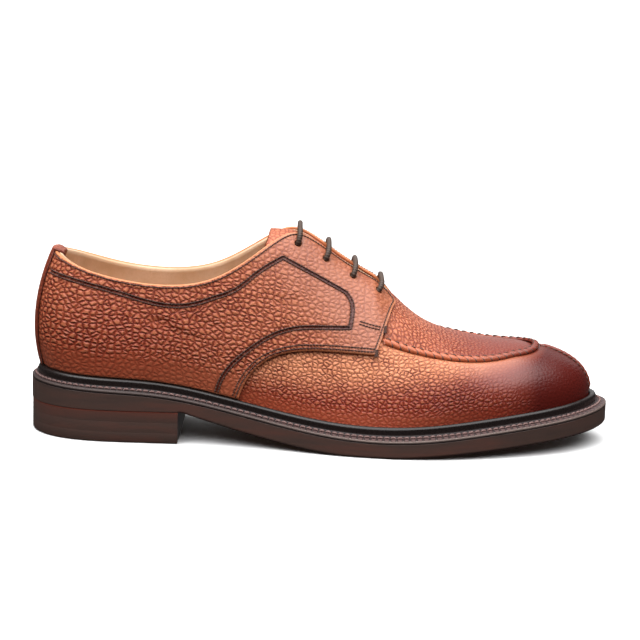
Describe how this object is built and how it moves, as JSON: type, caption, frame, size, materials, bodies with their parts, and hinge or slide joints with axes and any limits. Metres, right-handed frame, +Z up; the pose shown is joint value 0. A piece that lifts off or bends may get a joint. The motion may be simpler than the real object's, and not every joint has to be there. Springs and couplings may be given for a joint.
{
  "type": "derby shoe",
  "caption": "Low lace-up leather shoe for the right foot, with open lacing over a tongue, a raised apron and toe seam, a beaded welt, a thick leather sole and a stacked heel.",
  "frame": {"origin": "on the floor, under the middle of the shoe's length and width", "axes": "+X to the toe, +Y to the inner side of the right foot, +Z up"},
  "size_m": [0.3021, 0.1082, 0.1111],
  "materials": {
    "heel_leather": "dark brown stacked leather, waxed edge",
    "sole_leather": "dark brown sole leather, waxed edge",
    "welt_leather": "dark purple-brown welt leather, dark bead",
    "insole_leather": "natural tan leather, matt",
    "vamp_leather": "tan pebble-grain calf, polished",
    "tongue_leather": "tan pebble-grain calf",
    "outer_quarter_leather": "red-brown tan pebble-grain calf, polished",
    "inner_quarter_leather": "red-brown tan pebble-grain calf, polished",
    "strip_leather": "red-brown tan pebble-grain calf, polished",
    "apron_seam_leather": "raised hand-sewn seam in burnished tan calf",
    "toe_seam_leather": "raised toe seam in burnished dark red-brown calf",
    "lace_bar_1_cord": "dark brown round waxed lace",
    "lace_bar_2_cord": "dark brown round waxed lace",
    "lace_bar_3_cord": "dark brown round waxed lace",
    "lace_bar_4_cord": "dark brown round waxed lace"
  },
  "bodies": {
    "root": {"heel_stack": "heel_leather", "outsole": "sole_leather", "welt": "welt_leather", "insole": "insole_leather", "upper": "vamp_leather", "tongue": "tongue_leather", "quarter_outer": "outer_quarter_leather", "quarter_inner": "inner_quarter_leather", "back_strip": "strip_leather", "apron_seam": "apron_seam_leather", "toe_seam": "toe_seam_leather", "lace_bar_1": "lace_bar_1_cord", "lace_bar_2": "lace_bar_2_cord", "lace_bar_3": "lace_bar_3_cord", "lace_bar_4": "lace_bar_4_cord"}
  },
  "joints": []
}
